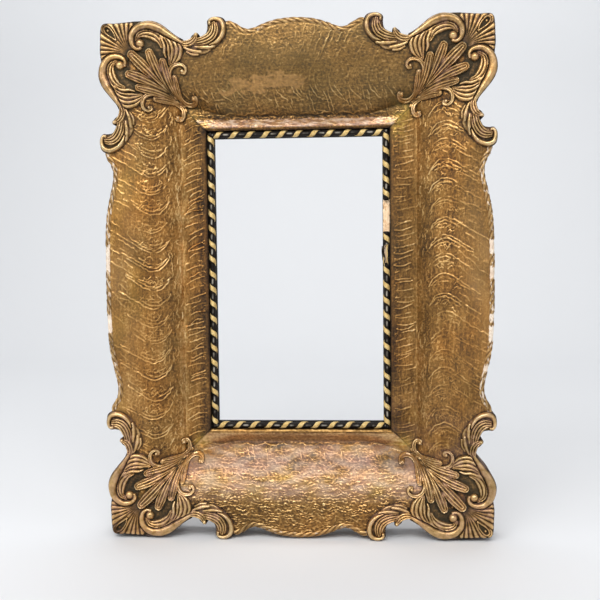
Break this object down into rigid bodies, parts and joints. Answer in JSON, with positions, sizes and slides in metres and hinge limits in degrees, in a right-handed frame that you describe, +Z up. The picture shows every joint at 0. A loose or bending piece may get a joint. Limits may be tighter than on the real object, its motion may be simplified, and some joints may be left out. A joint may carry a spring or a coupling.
{
  "type": "picture frame",
  "caption": "Ornate swept picture frame in gilded composition on mitred wood rails, with shell corners, edge scrolls, a rope-trimmed sight opening, turn buttons and hanging rings.",
  "frame": {"origin": "on the floor under the middle of the frame, half way through its depth", "axes": "+Z up the frame as it stands or hangs, the gilded front faces -Y, +X to the right seen from the front"},
  "size_m": [0.397, 0.056, 0.526],
  "materials": {
    "gilt_face": "pressed composition with worn antique bronze gilding, satin",
    "gilt_ornament": "moulded composition with antique bronze gilding, rubbed highlights",
    "black_paint": "black paint, satin",
    "rope": "twisted gold and black strands",
    "bare_wood": "bare, aged softwood",
    "key_wood": "bare hardwood",
    "steel": "plain wire nail",
    "screw_steel": "slotted, bright",
    "button_steel": "dull zinc",
    "strap_brass": "brass plated, dulled",
    "ring_brass": "brass plated, dulled"
  },
  "bodies": {
    "frame": {"bottom_face": "gilt_face", "bottom_rail": "bare_wood", "corner_leaf_bl": "gilt_ornament", "corner_leaf_br": "gilt_ornament", "corner_leaf_tl": "gilt_ornament", "corner_leaf_tr": "gilt_ornament", "corner_shell_bl": "gilt_ornament", "corner_shell_br": "gilt_ornament", "corner_shell_tl": "gilt_ornament", "corner_shell_tr": "gilt_ornament", "edge_bead_bottom": "gilt_ornament", "edge_bead_left": "gilt_ornament", "edge_bead_right": "gilt_ornament", "edge_bead_top": "gilt_ornament", "edge_scroll_end_bl": "gilt_ornament", "edge_scroll_end_br": "gilt_ornament", "edge_scroll_end_tl": "gilt_ornament", "edge_scroll_end_tr": "gilt_ornament", "edge_scroll_side_bl": "gilt_ornament", "edge_scroll_side_br": "gilt_ornament", "edge_scroll_side_tl": "gilt_ornament", "edge_scroll_side_tr": "gilt_ornament", "hanger_screws": "screw_steel", "hanger_strap_left": "strap_brass", "hanger_strap_right": "strap_brass", "left_face": "gilt_face", "left_rail": "bare_wood", "mitre_keys": "key_wood", "mitre_nails": "steel", "right_face": "gilt_face", "right_rail": "bare_wood", "rope_bottom": "rope", "rope_left": "rope", "rope_right_lower": "rope", "rope_right_upper": "rope", "rope_top": "rope", "sight_fillet_bottom": "black_paint", "sight_fillet_left": "black_paint", "sight_fillet_right": "black_paint", "sight_fillet_top": "black_paint", "top_face": "gilt_face", "top_rail": "bare_wood", "turn_button_screws": "screw_steel"},
    "hanger_ring_left": {"hanger_ring_left": "ring_brass"},
    "hanger_ring_right": {"hanger_ring_right": "ring_brass"},
    "turn_button_1": {"turn_button_1": "button_steel"},
    "turn_button_2": {"turn_button_2": "button_steel"},
    "turn_button_3": {"turn_button_3": "button_steel"},
    "turn_button_4": {"turn_button_4": "button_steel"},
    "turn_button_5": {"turn_button_5": "button_steel"},
    "turn_button_6": {"turn_button_6": "button_steel"}
  },
  "joints": [
    {"name": "hanger_ring_left_hinge", "type": "hinge", "parent": "frame", "child": "hanger_ring_left", "pos_m": [-0.118, 0.0255, 0.413], "axis": [0, 0, 1], "range_deg": [0, 150]},
    {"name": "hanger_ring_right_hinge", "type": "hinge", "parent": "frame", "child": "hanger_ring_right", "pos_m": [0.118, 0.0255, 0.413], "axis": [0, 0, -1], "range_deg": [0, 150]},
    {"name": "turn_button_1_pivot", "type": "hinge", "parent": "frame", "child": "turn_button_1", "pos_m": [-0.0996, 0.023, 0.158], "axis": [0, 1, 0], "continuous": true},
    {"name": "turn_button_2_pivot", "type": "hinge", "parent": "frame", "child": "turn_button_2", "pos_m": [-0.0996, 0.023, 0.263], "axis": [0, 1, 0], "continuous": true},
    {"name": "turn_button_3_pivot", "type": "hinge", "parent": "frame", "child": "turn_button_3", "pos_m": [-0.0996, 0.023, 0.368], "axis": [0, 1, 0], "continuous": true},
    {"name": "turn_button_4_pivot", "type": "hinge", "parent": "frame", "child": "turn_button_4", "pos_m": [0.0996, 0.023, 0.158], "axis": [0, 1, 0], "continuous": true},
    {"name": "turn_button_5_pivot", "type": "hinge", "parent": "frame", "child": "turn_button_5", "pos_m": [0.0996, 0.023, 0.263], "axis": [0, 1, 0], "continuous": true},
    {"name": "turn_button_6_pivot", "type": "hinge", "parent": "frame", "child": "turn_button_6", "pos_m": [0.0996, 0.023, 0.368], "axis": [0, 1, 0], "continuous": true}
  ]
}
